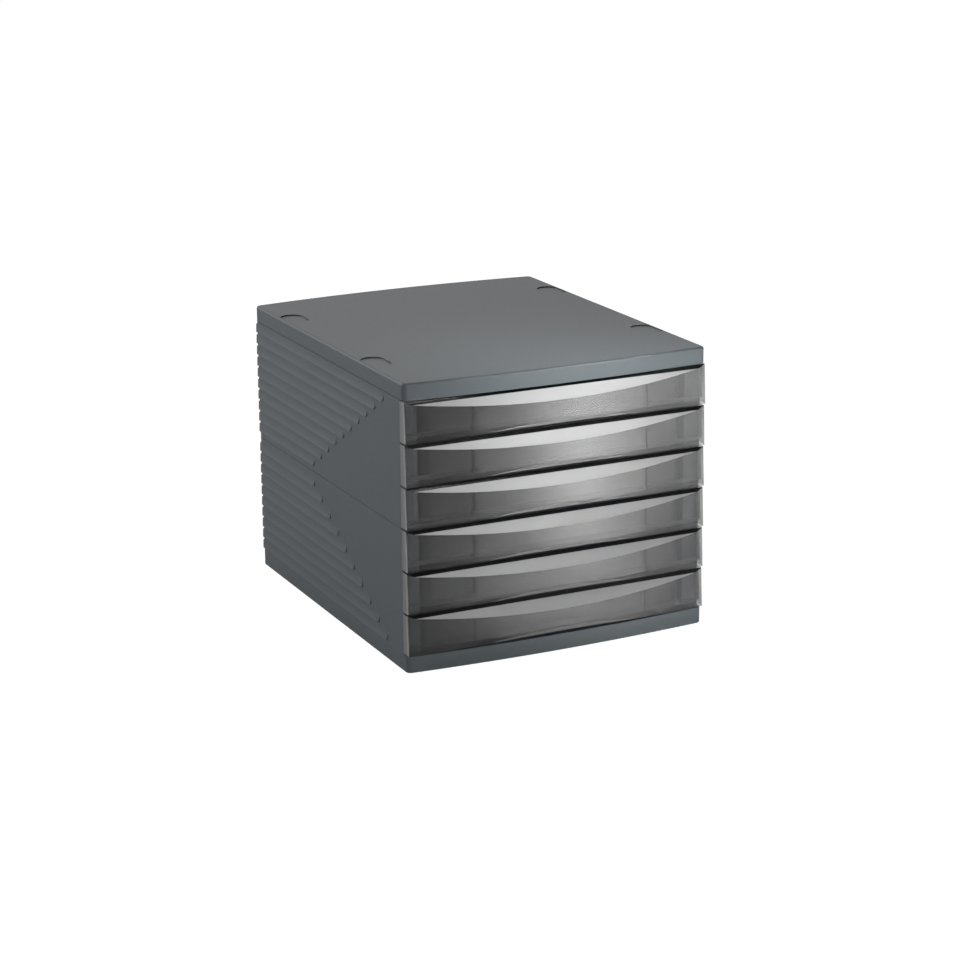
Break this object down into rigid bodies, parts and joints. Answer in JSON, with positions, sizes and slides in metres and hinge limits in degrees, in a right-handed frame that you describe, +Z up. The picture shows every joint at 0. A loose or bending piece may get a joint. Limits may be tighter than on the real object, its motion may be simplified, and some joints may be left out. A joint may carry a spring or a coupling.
{
  "type": "desktop drawer cabinet",
  "caption": "Desktop cabinet of shallow sliding drawers with bowed clear smoke fronts in a ribbed moulded housing that stacks on its own kind.",
  "frame": {"origin": "centre of the bounding box at the height of the feet's undersides", "axes": "+X to the right seen from the front, +Y to the back, +Z up; drawers open along -Y"},
  "size_m": [0.2924, 0.362, 0.2571],
  "materials": {
    "housing": "fine satin grain, anthracite",
    "tray": "smooth, near black",
    "front": "polished, clear smoke",
    "label": "clear film, blank",
    "foot": "matt black"
  },
  "bodies": {
    "cabinet": {"lower_housing": "housing", "upper_housing": "housing", "top_cover": "housing", "foot_front_left": "foot", "foot_front_right": "foot", "foot_rear_left": "foot", "foot_rear_right": "foot"},
    "drawer_1": {"drawer_1_tray": "tray", "drawer_1_front": "front", "drawer_1_label": "label"},
    "drawer_2": {"drawer_2_tray": "tray", "drawer_2_front": "front", "drawer_2_label": "label"},
    "drawer_3": {"drawer_3_tray": "tray", "drawer_3_front": "front", "drawer_3_label": "label"},
    "drawer_4": {"drawer_4_tray": "tray", "drawer_4_front": "front", "drawer_4_label": "label"},
    "drawer_5": {"drawer_5_tray": "tray", "drawer_5_front": "front", "drawer_5_label": "label"},
    "drawer_6": {"drawer_6_tray": "tray", "drawer_6_front": "front", "drawer_6_label": "label"}
  },
  "joints": [
    {"name": "drawer_1_slide", "type": "slide", "parent": "cabinet", "child": "drawer_1", "axis": [0, -1, 0], "range_m": [0, 0.25]},
    {"name": "drawer_2_slide", "type": "slide", "parent": "cabinet", "child": "drawer_2", "axis": [0, -1, 0], "range_m": [0, 0.25]},
    {"name": "drawer_3_slide", "type": "slide", "parent": "cabinet", "child": "drawer_3", "axis": [0, -1, 0], "range_m": [0, 0.25]},
    {"name": "drawer_4_slide", "type": "slide", "parent": "cabinet", "child": "drawer_4", "axis": [0, -1, 0], "range_m": [0, 0.25]},
    {"name": "drawer_5_slide", "type": "slide", "parent": "cabinet", "child": "drawer_5", "axis": [0, -1, 0], "range_m": [0, 0.25]},
    {"name": "drawer_6_slide", "type": "slide", "parent": "cabinet", "child": "drawer_6", "axis": [0, -1, 0], "range_m": [0, 0.25]}
  ]
}
